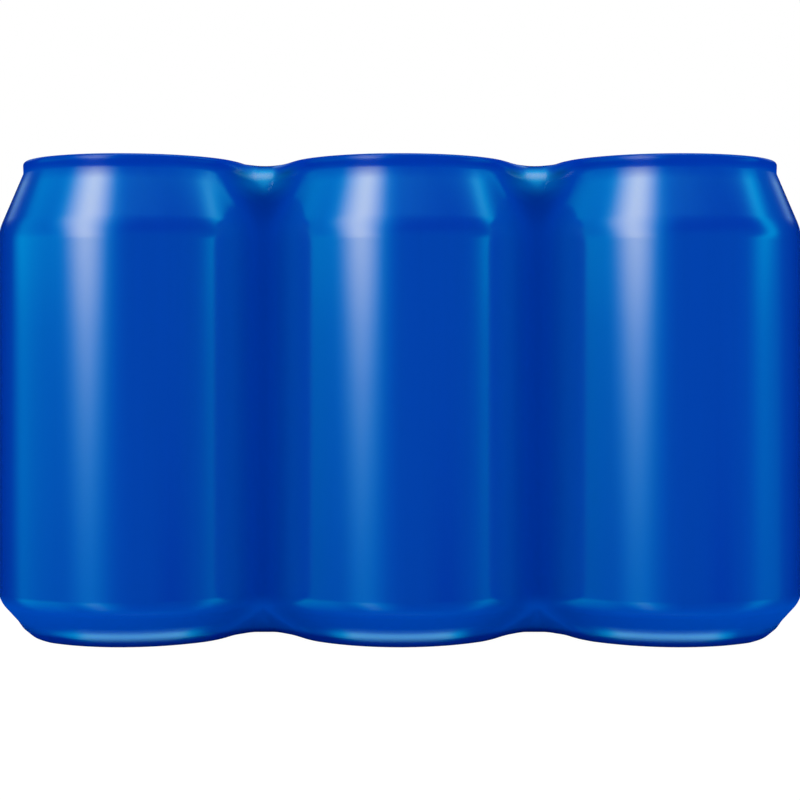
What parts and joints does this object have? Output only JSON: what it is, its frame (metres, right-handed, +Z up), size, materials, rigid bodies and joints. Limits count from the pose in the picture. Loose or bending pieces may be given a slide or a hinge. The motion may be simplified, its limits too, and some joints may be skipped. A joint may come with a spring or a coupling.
{
  "type": "wrapped multipack of drinks cans",
  "caption": "Block of drinks cans shut in tight opaque shrink film, whose rims, tapered necks and bases show as smooth relief.",
  "frame": {"origin": "centre of the pack's footprint, on the surface it stands on", "axes": "+Z up along the cans' axes, +X along the rows of three cans, -Y towards the front"},
  "size_m": [0.1988, 0.1326, 0.1166],
  "materials": {
    "film": "smooth glossy opaque blue polyethylene film"
  },
  "bodies": {
    "root": {"wrapped_pack": "film"}
  },
  "joints": []
}
